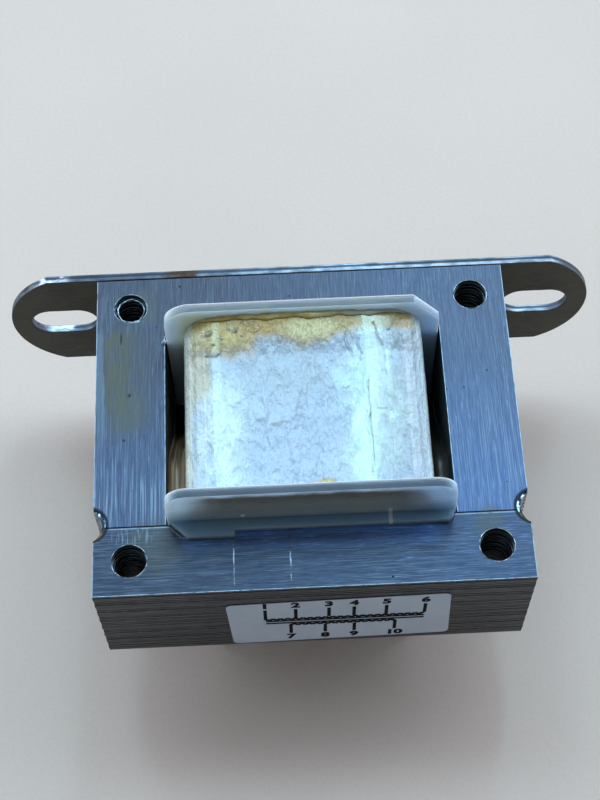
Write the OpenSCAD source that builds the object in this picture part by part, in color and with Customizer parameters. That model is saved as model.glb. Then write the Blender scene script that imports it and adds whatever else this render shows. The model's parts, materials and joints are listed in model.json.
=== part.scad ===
// Open-frame transformer: a welded E and I lamination core with a slotted
// mounting plate on its back, a moulded bobbin with two rows of solder pins,
// and a taped winding. Millimetres, +Z up.
// The part stands on its pins. Its origin is under the middle of its box.

/* [Core] */
// Width of the centre limb, which also sets the legs, the yoke and the I bar
limb_w = 16; // [14:0.5:20]
// Width of a winding window
window_w = 8; // [7:0.1:12]
// Length of a winding window
window_l = 24; // [20:0.5:36]
// Height of the lamination stack
stack_h = 16.8; // [12:0.1:26]
// Thickness of one sheet
sheet_t = 0.5; // [0.35:0.05:1]
// Least coating between two sheets
sheet_coat = 0.005; // [0.002:0.001:0.02]
// How far the edges of single sheets lie back from the stack's outline
sheet_slip = 0.06; // [0:0.01:0.12]
// Diameter of the four core holes
core_hole_d = 3.85; // [3:0.05:4.5]

/* [Core welds] */
// Radius of the weld notch across the joint of E and I
notch_r = 2.1; // [1.6:0.1:2.6]
// Depth of the weld notch
notch_depth = 1.4; // [0.8:0.1:1.6]
// Distance of the notch's middle from the joint, towards the E
notch_shift = 0.45; // [0:0.05:0.8]
// Thickness of the weld seam in the bottom of the notch
seam_t = 0.45; // [0.3:0.05:0.7]
// Distance of the seam's ends from the faces of the stack
seam_setback = 0.35; // [0.1:0.05:1]

/* [Mounting plate] */
// Thickness of the plate
plate_t = 1; // [0.8:0.1:2]
// How far the plate stands above the top of the core
plate_rise = 0.1; // [0:0.05:0.3]
// How far the plate reaches below the core
plate_drop = 0.9; // [0.8:0.05:1.5]
// How much the radius of the ears' ends exceeds half the plate's width
ear_extra_r = 1.1; // [0.1:0.1:5]
// Distance of a slot's middle from the side of the core
slot_offset = 5; // [4.5:0.1:8]
// Length of a slot from end to end
slot_l = 8; // [6:0.1:8.5]
// Width of a slot
slot_w = 4.85; // [3:0.05:5.5]
// Metal left between a slot and the end of its ear
slot_end_wall = 2.5; // [1.5:0.1:6]
// Radius of the weld beads in the corner between plate and core
bead_r = 0.75; // [0.4:0.05:0.8]
// Length of a weld bead
bead_l = 7; // [4:0.5:8]
// Distance of a weld bead's middle from the side of the core
bead_inset = 9.5; // [6:0.5:12]

/* [Bobbin] */
// Clearance between the bobbin's tube and the centre limb
limb_clear = 0.2; // [0.1:0.05:0.4]
// Wall of the bobbin's tube
tube_wall = 1; // [0.6:0.1:1.4]
// Thickness of a flange
flange_t = 1.05; // [0.8:0.05:1.5]
// Clearance between a flange and the ends of the window
flange_end_clear = 0.05; // [0.02:0.01:0.2]
// Clearance between a flange and the legs
flange_side_clear = 0.25; // [0.1:0.05:0.5]
// How far a flange stands out beyond the taped winding
flange_lip = 1.1; // [0.3:0.05:2]
// Corner radius of the front flange
front_corner_r = 2.6; // [1:0.1:3.5]
// Corner radius of the back flange
back_corner_r = 3.2; // [1:0.1:3.5]
// Width of the keyed corner of the back flange
key_w = 3.1; // [2:0.1:4]
// Height of the keyed corner of the back flange
key_h = 4; // [2:0.1:5]
// Thickness of the ledge over the I bar
ledge_t = 0.9; // [0.5:0.1:1.5]
// Reach of the ledge over the I bar
ledge_reach = 1.15; // [0.8:0.05:2]
// Extra reach of the tab at the left end of the ledge
tab_reach = 0.7; // [0.3:0.05:1]
// Length of the tab
tab_l = 5.2; // [3:0.1:6]
// Corner cut off the right end of the ledge
ledge_corner = 0.5; // [0.2:0.1:1]

/* [Terminals] */
// Distance between two pins of a row
pin_pitch = 5; // [4.6:0.1:5.2]
// Distance between the two rows of pins
row_pitch = 30; // [29.6:0.1:30.6]
// Pins in the front row
front_pins = 6; // [4:2:6]
// Pins in the back row
back_pins = 4; // [2:2:6]
// Diameter of a pin's tail
pin_d = 1; // [0.8:0.05:1.1]
// Diameter of a pin's shoulder
shoulder_d = 1.4; // [1.35:0.05:1.6]
// Height of the shoulder's end above the board seat
shoulder_lift = 0.3; // [0.1:0.05:0.5]
// Length of a pin below the board seat
pin_l = 4; // [3:0.1:6]
// Nylon left over the root of a pin
pin_cover = 0.9; // [0.5:0.1:2]
// Height of the blocks' feet, which leaves room for the wires
foot_h = 2; // [1.8:0.1:3]
// Depth of a terminal block
block_d = 5.2; // [5:0.1:5.4]
// Clearance between a terminal block and the core
block_clear = 0.2; // [0.05:0.05:0.4]
// Width of the wire slots in the blocks
wire_slot_w = 1.8; // [1.5:0.1:2.2]
// Depth of the wire slots in the blocks
wire_slot_h = 2.2; // [1.9:0.1:2.4]
// Length of a block beyond the last pin of the front row
block_end = 3.1; // [2.8:0.1:3.2]
// Clearance between a foot and the wire wrapped round the pin beside it
foot_clear = 0.5; // [0.2:0.1:0.9]

/* [Winding] */
// Clearance between the taped winding and the legs
coil_clear = 2.2; // [0.3:0.1:3]
// Share of the room for wire that the primary winding takes
primary_share = 0.57; // [0.3:0.01:0.7]
// Thickness of the insulation between the windings
insulation_t = 0.3; // [0.1:0.05:0.5]
// Thickness of the outer tape wrap
wrap_t = 0.6; // [0.2:0.05:0.7]
// Crown of the tape wrap over its flat sides
wrap_crown = 0.4; // [0:0.05:0.5]
// Space between a winding and a flange
winding_margin = 0.8; // [0.7:0.05:1.5]
// Corner radius of the bobbin's tube
tube_corner_r = 0.9; // [0.5:0.1:1.5]
// Diameter of the primary wire
primary_wire_d = 0.35; // [0.25:0.05:0.5]
// Diameter of the secondary wire
secondary_wire_d = 0.6; // [0.4:0.05:0.65]

/* [Label] */
// Length of the label
label_l = 24.8; // [15:0.1:30]
// Height of the label
label_h = 12.1; // [6:0.1:13]
// Thickness of the label
label_t = 0.1; // [0.05:0.01:0.2]
// Corner radius of the label
label_corner_r = 0.8; // [0.3:0.1:1.5]
// Distance of the label's middle from the middle of the core
label_shift = 2.7; // [-5:0.1:5]
// Distance of the label's middle below the middle of the stack
label_drop = 1.4; // [-2:0.1:2]
// Turn of the label in its plane
label_turn = 1.9; // [0:0.1:3]

/* [Hidden] */
$fn = 64;
leg_w = limb_w / 2;
core_w = 2 * (limb_w + window_w);
core_l = window_l + limb_w;
joint_y = leg_w;
window_y = joint_y + window_l / 2;
hole_x = core_w / 2 - leg_w / 2;
hole_inset = leg_w / 2;
window_half = limb_w / 2 + window_w;

sheets = floor(stack_h / (sheet_t + sheet_coat));
sheet_pitch = (stack_h - sheet_t) / (sheets - 1);
slip_turn = 137.5;

notch_out = notch_r - notch_depth;
notch_y = joint_y + notch_shift;

slot_pitch = core_w + 2 * slot_offset;
plate_l = slot_pitch + slot_l + 2 * slot_end_wall;
plate_w = plate_drop + stack_h + plate_rise;
plate_mid_z = plate_w / 2 - plate_drop;
ear_r = plate_w / 2 + ear_extra_r;
bead_x = core_w / 2 - bead_inset;

tube_rise = limb_clear + tube_wall;
tube_w = limb_w + 2 * tube_rise;
tube_h = stack_h + 2 * tube_rise;
wire_room = window_w - tube_rise - insulation_t - wrap_t - wrap_crown / 2
    - coil_clear;
primary_build = primary_share * wire_room;
secondary_build = wire_room - primary_build;
primary_rise = tube_rise + primary_build;
secondary_rise = primary_rise + insulation_t + secondary_build;
flange_rise = secondary_rise + wrap_t + wrap_crown + flange_lip;
flange_half = window_half - flange_side_clear;
flange_out = window_l / 2 - flange_end_clear;
flange_in = flange_out - flange_t;
board_z = -flange_rise;

row_out = row_pitch / 2;
block_top = -block_clear;
block_bottom = board_z + foot_h;
block_half = (front_pins - 1) * pin_pitch / 2 + block_end;
block_out = flange_out + block_d;
root_top = block_top - pin_cover;
wire_gap = 0.04;
front_wrap_r = shoulder_d / 2 + wire_gap + primary_wire_d;
foot_w = block_end - front_wrap_r - foot_clear;
foot_half = block_half - foot_w / 2;
shoulder_z = board_z + shoulder_lift;
tip_z = board_z - pin_l;
tip_chamfer = 0.25;

primary_w = tube_w + 2 * primary_build;
primary_h = tube_h + 2 * primary_build;
primary_r = tube_corner_r + primary_build;
insulation_w = primary_w + 2 * insulation_t;
insulation_h = primary_h + 2 * insulation_t;
insulation_r = primary_r + insulation_t;
secondary_w = insulation_w + 2 * secondary_build;
secondary_h = insulation_h + 2 * secondary_build;
secondary_r = insulation_r + secondary_build;
wrap_w = secondary_w + 2 * wrap_t;
wrap_h = secondary_h + 2 * wrap_t;
wrap_r = secondary_r + wrap_t;
winding_half = flange_in - winding_margin;

wire_sides = 6;
wrap_steps = 10;
pair_shift = 0.45;
run_clear = 0.12;
dive_l = 0.65;
wrap_end_clear = 0.3;
wire_side = [1, 0.3, 0.1];

label_z = stack_h / 2 - label_drop;
box_mid_y = (core_l + plate_t - label_t) / 2;
overcut = 1;

steel = "lightsteelblue";
nylon = "gainsboro";
copper = "peru";
tin = "silver";

// ---- Places ----

// The core's own frame: Y = 0 on the outer face of the I bar, Z = 0 on the
// underside of the core.
module in_core_frame() {
    translate([0, -box_mid_y, -tip_z]) children();
}

// A frame whose +Y points outwards from the middle of the winding window,
// towards the front row (side = -1) or the back row (side = 1).
module outwards(side) {
    translate([0, window_y, 0]) mirror([0, side < 0 ? 1 : 0, 0]) children();
}

// Extrudes a profile drawn in X and Z from y to y + t.
module upright(y, t) {
    translate([0, y + t, 0]) rotate([90, 0, 0]) linear_extrude(t) children();
}

// ---- Profiles ----

module rounded_rectangle(w, h, r) {
    square([w - 2 * r, h], center = true);
    square([w, h - 2 * r], center = true);
    for (x = [-1, 1], y = [-1, 1])
        translate([x * (w / 2 - r), y * (h / 2 - r)]) circle(r);
}

// A shallow circle segment that stands on the line y = 0.
module crown(chord, rise) {
    crown_r = (chord * chord / 4 + rise * rise) / (2 * rise);
    intersection() {
        translate([0, rise - crown_r]) circle(crown_r, $fn = 256);
        translate([-chord / 2, -rise]) square([chord, 3 * rise]);
    }
}

// ---- Core ----

// How far one edge of sheet i lies back, for the edge numbered side.
function slip(i, side) = sheet_slip * abs(sin(slip_turn * i + 61 * side));

module notches() {
    for (x = [-1, 1])
        translate([x * (core_w / 2 + notch_out), notch_y]) circle(notch_r);
}

module core_holes() {
    for (x = [-hole_x, hole_x], y = [hole_inset, core_l - hole_inset])
        translate([x, y]) circle(d = core_hole_d);
}

// A plain sheet outline between two heights in Y, its edges set back.
module sheet_outline(i, y0, y1) {
    x0 = -core_w / 2 + slip(i, 1);
    x1 = core_w / 2 - slip(i, 2);
    translate([x0, y0]) square([x1 - x0, y1 - y0]);
}

module e_sheet(i) {
    linear_extrude(sheet_t) difference() {
        sheet_outline(i, joint_y, core_l - slip(i, 3));
        for (x = [-1, 1])
            translate([x * (limb_w + window_w) / 2, window_y])
                square([window_w, window_l], center = true);
        core_holes();
        notches();
    }
}

module i_sheet(i) {
    linear_extrude(sheet_t) difference() {
        sheet_outline(i, slip(i, 4), joint_y);
        core_holes();
        notches();
    }
}

module e_laminations() {
    color(steel) in_core_frame()
        for (i = [0 : sheets - 1])
            translate([0, 0, i * sheet_pitch]) e_sheet(i);
}

module i_laminations() {
    color(steel) in_core_frame()
        for (i = [0 : sheets - 1])
            translate([0, 0, i * sheet_pitch]) i_sheet(i);
}

// The fused metal that lines the bottom of a notch, hollow towards outside.
module weld_seam(side) {
    color("silver") in_core_frame()
        translate([side * (core_w / 2 + notch_out), notch_y, seam_setback])
            linear_extrude(stack_h - 2 * seam_setback) difference() {
                circle(notch_r);
                translate([side * seam_t, 0]) circle(notch_r);
                translate([side * notch_r - side * notch_out, 0])
                    square([2 * notch_r, 3 * notch_r], center = true);
            }
}

// ---- Mounting plate ----

module slot() {
    square([slot_l - slot_w, slot_w], center = true);
    for (x = [-1, 1])
        translate([x * (slot_l - slot_w) / 2, 0]) circle(d = slot_w);
}

module mounting_plate() {
    color("dimgray") in_core_frame() translate([0, 0, plate_mid_z])
        upright(core_l, plate_t) difference() {
            intersection() {
                square([plate_l, plate_w], center = true);
                union() {
                    square([plate_l - 2 * ear_r, plate_w], center = true);
                    for (x = [-1, 1])
                        translate([x * (plate_l / 2 - ear_r), 0])
                            circle(ear_r, $fn = 96);
                }
            }
            for (x = [-1, 1])
                translate([x * slot_pitch / 2, 0]) slot();
        }
}

// A quarter-round bead with round ends, under the core and against the plate.
module plate_weld(side) {
    color("silver") in_core_frame()
        translate([side * bead_x, core_l, 0]) intersection() {
            union() {
                rotate([0, 90, 0]) cylinder(r = bead_r, h = bead_l, center = true);
                for (x = [-1, 1])
                    translate([x * bead_l / 2, 0, 0]) sphere(bead_r);
            }
            translate([-bead_l, -2 * bead_r, -2 * bead_r])
                cube([2 * bead_l, 2 * bead_r, 2 * bead_r]);
        }
}

// ---- Bobbin ----

// A flange seen along Y: round top corners, plain lower corners.
module flange_profile(corner_r) {
    top = stack_h + flange_rise;
    translate([-flange_half, board_z])
        square([2 * flange_half, top - corner_r - board_z]);
    translate([-flange_half + corner_r, top - 2 * corner_r])
        square([2 * (flange_half - corner_r), 2 * corner_r]);
    for (x = [-1, 1])
        translate([x * (flange_half - corner_r), top - corner_r]) circle(corner_r);
}

// The keyed corner that is cut off the back flange.
module key_cut() {
    top = stack_h + flange_rise;
    polygon([[flange_half - key_w, top], [flange_half + overcut, top + overcut],
        [flange_half + overcut, top - key_h - overcut], [flange_half, top - key_h]]);
}

// Fills the rounding beside the key, so that the key is a straight cut.
module key_fill() {
    top = stack_h + flange_rise;
    translate([flange_half - back_corner_r, top - back_corner_r])
        square(back_corner_r);
}

module front_flange() {
    upright(window_y - flange_out, flange_t) flange_profile(front_corner_r);
}

module back_flange() {
    upright(window_y + flange_in, flange_t) difference() {
        union() {
            flange_profile(back_corner_r);
            key_fill();
        }
        key_cut();
    }
}

module tube(w, h, r, half_l) {
    translate([0, 0, stack_h / 2])
        upright(window_y - half_l, 2 * half_l) rounded_rectangle(w, h, r);
}

// The ledge on the front flange that lies over the I bar, with a tab at
// its left end, cut off at a slant.
module ledge() {
    y0 = window_y - flange_out;
    end = flange_half - flange_side_clear;
    reach = ledge_reach + tab_reach;
    translate([0, 0, stack_h]) linear_extrude(ledge_t)
        polygon([[-end, y0], [-end + reach, y0 - reach],
            [-end + reach + tab_l, y0 - reach],
            [-end + reach + tab_l, y0 - ledge_reach],
            [end - ledge_corner, y0 - ledge_reach],
            [end, y0 - ledge_reach + ledge_corner], [end, y0]]);
}

// A terminal block with its feet, in the outwards frame.
module terminal_block() {
    translate([-block_half, flange_out, block_bottom])
        cube([2 * block_half, block_d, block_top - block_bottom]);
    for (x = [-1, 1])
        translate([x * foot_half - foot_w / 2, block_out - foot_w, board_z])
            cube([foot_w, foot_w, block_bottom - board_z]);
}

// The wire slots of a row, open downwards, through the flange and the block.
module wire_slots(pins) {
    top = block_bottom + wire_slot_h;
    for (i = [0 : pins - 2])
        translate([(i - (pins - 2) / 2) * pin_pitch - wire_slot_w / 2,
                flange_in - overcut, board_z - overcut])
            cube([wire_slot_w, block_out - flange_in + 2 * overcut,
                top - board_z + overcut]);
}

module pin_bores(pins) {
    for (i = [0 : pins - 1])
        translate([pin_x(i, pins), row_out, block_bottom - overcut])
            cylinder(d = shoulder_d, h = root_top - block_bottom + overcut);
}

module bobbin() {
    color(nylon) in_core_frame() difference() {
        union() {
            front_flange();
            back_flange();
            tube(tube_w, tube_h, tube_corner_r, flange_out);
            ledge();
            outwards(-1) terminal_block();
            outwards(1) terminal_block();
        }
        translate([0, 0, stack_h / 2])
            upright(window_y - window_l, 2 * window_l)
                square([limb_w + 2 * limb_clear, stack_h + 2 * limb_clear],
                    center = true);
        outwards(-1) {
            wire_slots(front_pins);
            pin_bores(front_pins);
        }
        outwards(1) {
            wire_slots(back_pins);
            pin_bores(back_pins);
        }
    }
}

// ---- Windings ----

// One closed layer round the tube, w and h outside, minus what it lies on.
module layer(w, h, r, in_w, in_h, in_r, half_l) {
    translate([0, 0, stack_h / 2])
        upright(window_y - half_l, 2 * half_l) difference() {
            rounded_rectangle(w, h, r);
            rounded_rectangle(in_w, in_h, in_r);
        }
}

module primary_winding() {
    color(copper) in_core_frame()
        layer(primary_w, primary_h, primary_r,
            tube_w, tube_h, tube_corner_r, winding_half);
}

module winding_insulation() {
    color("khaki") in_core_frame()
        layer(insulation_w, insulation_h, insulation_r,
            primary_w, primary_h, primary_r, winding_half);
}

module secondary_winding() {
    color(copper) in_core_frame()
        layer(secondary_w, secondary_h, secondary_r,
            insulation_w, insulation_h, insulation_r, winding_half);
}

// The tape wrap, crowned where the winding bulges under it.
module wrap_profile() {
    flat_w = wrap_w - 2 * wrap_r;
    flat_h = wrap_h - 2 * wrap_r;
    rounded_rectangle(wrap_w, wrap_h, wrap_r);
    if (wrap_crown > 0) {
        for (z = [0, 180]) {
            rotate(z) translate([0, wrap_h / 2]) crown(flat_w, wrap_crown);
            rotate(z + 90) translate([0, wrap_w / 2]) crown(flat_h, wrap_crown / 2);
        }
    }
}

module outer_wrap() {
    color("ivory") in_core_frame() translate([0, 0, stack_h / 2])
        upright(window_y - flange_in, 2 * flange_in) difference() {
            wrap_profile();
            rounded_rectangle(secondary_w, secondary_h, secondary_r);
        }
}

// ---- Pins and leads ----

// Place of pin i in a row of pins, counted from the left.
function pin_x(i, pins) = (i - (pins - 1) / 2) * pin_pitch;

// Pins 1 to 6 stand in the front row from left to right, and the rest in
// the back row from right to left.
function pin_side(n) = n <= front_pins ? -1 : 1;
function pin_place(n) = n <= front_pins
    ? pin_x(n - 1, front_pins)
    : pin_x(back_pins - 1 - (n - front_pins - 1), back_pins);
function wire_d(n) = n <= front_pins ? primary_wire_d : secondary_wire_d;

// Height of the middle of the winding that feeds pin n, under the core.
function feed_z(n) = n <= front_pins
    ? primary_build / 2 - primary_rise
    : secondary_build / 2 - secondary_rise;

module pin(n) {
    color(tin) in_core_frame() outwards(pin_side(n))
        translate([pin_place(n), row_out, 0]) {
            translate([0, 0, shoulder_z])
                cylinder(d = shoulder_d, h = root_top - shoulder_z);
            translate([0, 0, tip_z + tip_chamfer])
                cylinder(d = pin_d, h = shoulder_z - tip_z - tip_chamfer);
            translate([0, 0, tip_z])
                cylinder(d1 = pin_d - 2 * tip_chamfer, d2 = pin_d, h = tip_chamfer);
        }
}

function unit(v) = v / norm(v);

// Cuts the corners of a line once, and keeps its two ends.
function cut_corners(p) = concat([p[0]],
    [for (i = [0 : len(p) - 2], s = [0.25, 0.75])
        if (!(i == 0 && s == 0.25) && !(i == len(p) - 2 && s == 0.75))
            p[i] * (1 - s) + p[i + 1] * s],
    [p[len(p) - 1]]);

function tangent(p, i) =
    unit(p[min(i + 1, len(p) - 1)] - p[max(i - 1, 0)]);

// The part of v that is square to the unit vector t, at length 1.
function square_to(v, t) = unit(v - (v * t) * t);

// A round wire along the points of p, closed at both ends.
module wire(p, r) {
    last = len(p) - 1;
    normals = [for (i = 0, n = square_to(wire_side, tangent(p, 0)); i <= last;
        i = i + 1, n = square_to(n, tangent(p, min(i, last)))) n];
    rings = [for (i = [0 : last], k = [0 : wire_sides - 1])
        let (a = 360 * k / wire_sides, n = normals[i], b = cross(tangent(p, i), n))
            p[i] + r * (cos(a) * n + sin(a) * b)];
    sides = [for (i = [0 : last - 1], k = [0 : wire_sides - 1])
        let (a = i * wire_sides + k, b = i * wire_sides + (k + 1) % wire_sides)
            [a, a + wire_sides, b + wire_sides, b]];
    ends = [[for (k = [0 : wire_sides - 1]) k],
        [for (k = [wire_sides - 1 : -1 : 0]) last * wire_sides + k]];
    polyhedron(points = rings, faces = concat(sides, ends), convexity = 6);
}

// A lead leaves its winding beside the flange, runs out through a wire slot
// and ends in a wrap round the shoulder of its pin.
module lead(n) {
    r = wire_d(n) / 2;
    x = pin_place(n);
    turn = x > 0 ? -1 : 1;
    slot_x = x + turn * (pin_pitch / 2 - pair_shift);
    inside = flange_in - winding_margin / 2;
    run_z = block_bottom + wire_slot_h - run_clear - r;
    wrap_z = block_bottom - run_clear - r;
    wrap_r = shoulder_d / 2 + wire_gap + r;
    drop_out = row_out - wrap_r;
    route = [
        [slot_x, inside, feed_z(n)],
        [slot_x, inside, run_z],
        [slot_x, drop_out - 3 * dive_l, run_z],
        [slot_x, drop_out - 2 * dive_l, wrap_z],
        [slot_x, drop_out - dive_l, wrap_z],
        [x, drop_out, wrap_z]];
    pitch = 2 * r + wire_gap;
    turns = (wrap_z - r - wrap_end_clear - shoulder_z) / pitch;
    wrap = [for (i = [1 : ceil(turns * wrap_steps)])
        let (a = turn * 360 * i / wrap_steps - 90)
            [x + wrap_r * cos(a), row_out + wrap_r * sin(a),
                wrap_z - pitch * i / wrap_steps]];
    color(copper) in_core_frame() outwards(pin_side(n))
        wire(concat(cut_corners(route), wrap), r);
}

// ---- Label ----

module label() {
    color("white") in_core_frame()
        translate([label_shift, 0, label_z]) rotate([0, -label_turn, 0])
            upright(-label_t, label_t)
                rounded_rectangle(label_l, label_h, label_corner_r);
}

e_laminations();
i_laminations();
weld_seam(-1);  // weld_seam_left
weld_seam(1);  // weld_seam_right
mounting_plate();
plate_weld(-1);  // plate_weld_left
plate_weld(1);  // plate_weld_right
bobbin();
primary_winding();
winding_insulation();
secondary_winding();
outer_wrap();
pin(1);  // pin_1
pin(2);  // pin_2
pin(3);  // pin_3
pin(4);  // pin_4
pin(5);  // pin_5
pin(6);  // pin_6
pin(7);  // pin_7
pin(8);  // pin_8
pin(9);  // pin_9
pin(10);  // pin_10
lead(1);  // lead_1
lead(2);  // lead_2
lead(3);  // lead_3
lead(4);  // lead_4
lead(5);  // lead_5
lead(6);  // lead_6
lead(7);  // lead_7
lead(8);  // lead_8
lead(9);  // lead_9
lead(10);  // lead_10
label();
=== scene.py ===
# Looks of an open-frame transformer: welded laminations, slotted plate, nylon bobbin, taped coil.

import json
import math

import bpy
from mathutils import Matrix, Vector

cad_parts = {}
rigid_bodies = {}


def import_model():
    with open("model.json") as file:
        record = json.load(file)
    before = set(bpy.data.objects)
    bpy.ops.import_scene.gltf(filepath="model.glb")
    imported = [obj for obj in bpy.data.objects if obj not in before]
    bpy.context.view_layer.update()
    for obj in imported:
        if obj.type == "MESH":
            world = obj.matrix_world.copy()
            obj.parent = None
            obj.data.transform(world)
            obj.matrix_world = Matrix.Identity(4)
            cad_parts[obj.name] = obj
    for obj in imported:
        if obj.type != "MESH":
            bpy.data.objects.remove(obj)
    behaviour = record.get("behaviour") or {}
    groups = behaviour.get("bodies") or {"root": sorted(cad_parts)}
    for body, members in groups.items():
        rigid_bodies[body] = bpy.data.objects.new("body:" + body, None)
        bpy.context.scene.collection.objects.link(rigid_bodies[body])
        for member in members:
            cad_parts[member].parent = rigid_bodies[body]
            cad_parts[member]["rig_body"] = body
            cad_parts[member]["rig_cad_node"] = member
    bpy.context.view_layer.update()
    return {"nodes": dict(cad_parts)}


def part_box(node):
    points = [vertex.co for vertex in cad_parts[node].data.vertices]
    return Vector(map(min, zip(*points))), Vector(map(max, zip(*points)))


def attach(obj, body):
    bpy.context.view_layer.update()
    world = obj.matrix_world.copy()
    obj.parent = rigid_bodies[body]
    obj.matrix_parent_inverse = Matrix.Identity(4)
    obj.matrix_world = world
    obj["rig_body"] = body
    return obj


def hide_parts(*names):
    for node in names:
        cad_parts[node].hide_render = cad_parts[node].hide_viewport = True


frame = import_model()

MM = 0.001

# Places that the pieces share, from the CAD nodes and the sizes of the steel sheets.
core_low, core_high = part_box("e_laminations")
bar_low, bar_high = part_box("i_laminations")
plate_low, plate_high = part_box("mounting_plate")
wrap_low, wrap_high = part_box("outer_wrap")
label_low, label_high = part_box("label")
seam_low, seam_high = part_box("weld_seam_right")
CORE_TOP = core_high.z
CORE_BOTTOM = core_low.z
CORE_HALF = core_high.x
JOINT_Y = bar_high.y
CORE_FRONT = bar_low.y
LEG = 8 * MM
WINDOW_HALF = CORE_HALF - LEG
WINDOW_BACK = core_high.y - LEG
HOLE_X = CORE_HALF - LEG / 2
HOLE_R = 1.925 * MM
HOLES = [(x, y) for x in (-HOLE_X, HOLE_X) for y in (CORE_FRONT + LEG / 2, core_high.y - LEG / 2)]
SHEET = 0.5 * MM
SHEET_PITCH = (CORE_TOP - CORE_BOTTOM - SHEET) / 32
FLANGE_FRONT = wrap_low.y
FLANGE_BACK = wrap_high.y

# Sizes that the looks follow, of the print, the coil, the welds, the pins and the scratches.
PRINT_ROOM = 0.02 * MM
PRINT_Y = label_low.y + 0.012 * MM
TURN_R = 0.42 * MM
TURN_WIRE = 0.25 * MM
COIL_CORNER = 3.6 * MM
COIL_CROWN = 0.4 * MM
SIDE_CROWN = 0.2 * MM
CROWN_CURVE = 2.2
TAPE = 0.1 * MM
WELD_RIPPLE = 0.9 * MM
RIPPLE_DEPTH = 0.09 * MM
NOTCH_R = 2.1 * MM
NOTCH_Y = (seam_low.y + seam_high.y) / 2
NOTCH_OUT = 1.15 * MM
NOTCH_SHARE = 1.75
DIGIT = 1.9 * MM
BURR_HALF = 0.055 * MM
PIN_TAIL = 4 * MM
SOLDER_R = 1 * MM
SOLDER_RISE = 0.95 * MM
PINS = range(1, 11)
SCRATCH_Y = CORE_FRONT + 4.1 * MM


# ---- Camera, light and floor ----

def set_camera():
    camera = bpy.data.objects.new("camera", bpy.data.cameras.new("camera"))
    bpy.context.scene.collection.objects.link(camera)
    camera.data.lens = 72.47
    camera.data.sensor_width = 36
    camera.data.clip_start = 0.01
    camera.location = Vector((-2.444, -84.057, 189.754)) * MM
    azimuth, elevation, roll = (math.radians(angle) for angle in (1.2, 61.88, -1.49))
    turn = Matrix.Rotation(-azimuth, 4, "Z") @ Matrix.Rotation(math.pi / 2 - elevation, 4, "X")
    turn = turn @ Matrix.Rotation(roll, 4, "Z")
    camera.rotation_euler = turn.to_euler()
    bpy.context.scene.camera = camera


def area_light(name, place, aim, size, power, colour):
    light = bpy.data.objects.new(name, bpy.data.lights.new(name, "AREA"))
    bpy.context.scene.collection.objects.link(light)
    light.data.shape = "RECTANGLE"
    light.data.size, light.data.size_y = size
    light.data.energy = power
    light.data.color = colour
    light.location = place
    light.rotation_euler = (Vector(aim) - Vector(place)).to_track_quat("-Z", "Y").to_euler()


def soft_step(tree, value, low, high, to_low=0.0, to_high=1.0):
    """A soft step of value between low and high, in any node tree."""
    step = tree.nodes.new("ShaderNodeMapRange")
    step.interpolation_type = "SMOOTHSTEP"
    ends = {"From Min": low, "From Max": high, "To Min": to_low, "To Max": to_high}
    for name, number in ends.items():
        step.inputs[name].default_value = number
    tree.links.new(value, step.inputs["Value"])
    return step.outputs["Result"]


def set_light():
    cold, cyan = (0.86, 0.93, 1.0), (0.45, 0.9, 1.0)
    for name, place, aim_height, size, power, colour in (
            ("window", (0.04, 0.38, 0.6), 0.02, (1.4, 0.42), 4.4, (0.8, 0.9, 1.0)),
            ("side_left", (-0.6, 0.22, 0.34), 0.02, (0.4, 0.4), 1.5, cold),
            ("side_right", (0.62, 0.22, 0.34), 0.02, (0.4, 0.4), 1.6, cold),
            ("ceiling", (-0.2, -0.25, 0.6), 0, (0.5, 0.5), 0.3, (0.74, 0.88, 1.0)),
            ("lamp_right", (0.13, 0.45, 0.86), 0.03, (0.06, 0.3), 0.9, cyan),
            ("lamp_left", (-0.19, 0.45, 0.86), 0.03, (0.14, 0.3), 0.8, cyan)):
        area_light(name, place, (0, 0, aim_height), size, power, colour)
    world = bpy.data.worlds.new("room")
    world.use_nodes = True
    tree = world.node_tree
    sky = tree.nodes["Background"]
    aim = tree.nodes.new("ShaderNodeSeparateXYZ")
    tree.links.new(tree.nodes.new("ShaderNodeTexCoord").outputs["Generated"], aim.inputs[0])
    blend = tree.nodes.new("ShaderNodeMix")
    blend.data_type = "RGBA"
    blend.inputs[6].default_value = (0.36, 0.33, 0.3, 1)
    blend.inputs[7].default_value = (0.95, 1.05, 1.18, 1)
    tree.links.new(soft_step(tree, aim.outputs["Y"], -0.5, 0.7), blend.inputs["Factor"])
    tree.links.new(blend.outputs[2], sky.inputs["Color"])
    tree.links.new(soft_step(tree, aim.outputs["Z"], 0.3, 0.8, 0.75, 0.22), sky.inputs["Strength"])
    bpy.context.scene.world = world
    bpy.context.scene.view_settings.view_transform = "Standard"


# ---- Making finishes ----

class Value:
    """A number on its way through the nodes of a finish. Plain arithmetic adds nodes to it."""

    def __init__(self, skin, socket):
        self.skin = skin
        self.socket = socket

    def __add__(self, other):
        return self.skin.calc("ADD", self, other)

    def __sub__(self, other):
        return self.skin.calc("SUBTRACT", self, other)

    def __mul__(self, other):
        return self.skin.calc("MULTIPLY", self, other)

    def __abs__(self):
        return self.skin.calc("ABSOLUTE", self)

    def band(self, low, high, to_low=0.0, to_high=1.0):
        """A soft step of the number between low and high."""
        step = soft_step(self.skin.tree, self.socket, low, high, to_low, to_high)
        return Value(self.skin, step)

    def zone(self, past, low, high, to_low=0.0, to_high=1.0):
        """A soft step of the number from low to high, in millimetres past a place."""
        return self.band(past + low * MM, past + high * MM, to_low, to_high)

    def line(self, at, width):
        """1 on a thin line where the number is at (metres), fading out at half of width (millimetres)."""
        return abs(self - at).band(0.5 * width * MM, 0.2 * width * MM)

    def fade(self, low, high, a, b):
        """Colour a where the number is low and colour b where it is high."""
        return self.skin.mix(self.band(low, high), a, b)


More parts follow.
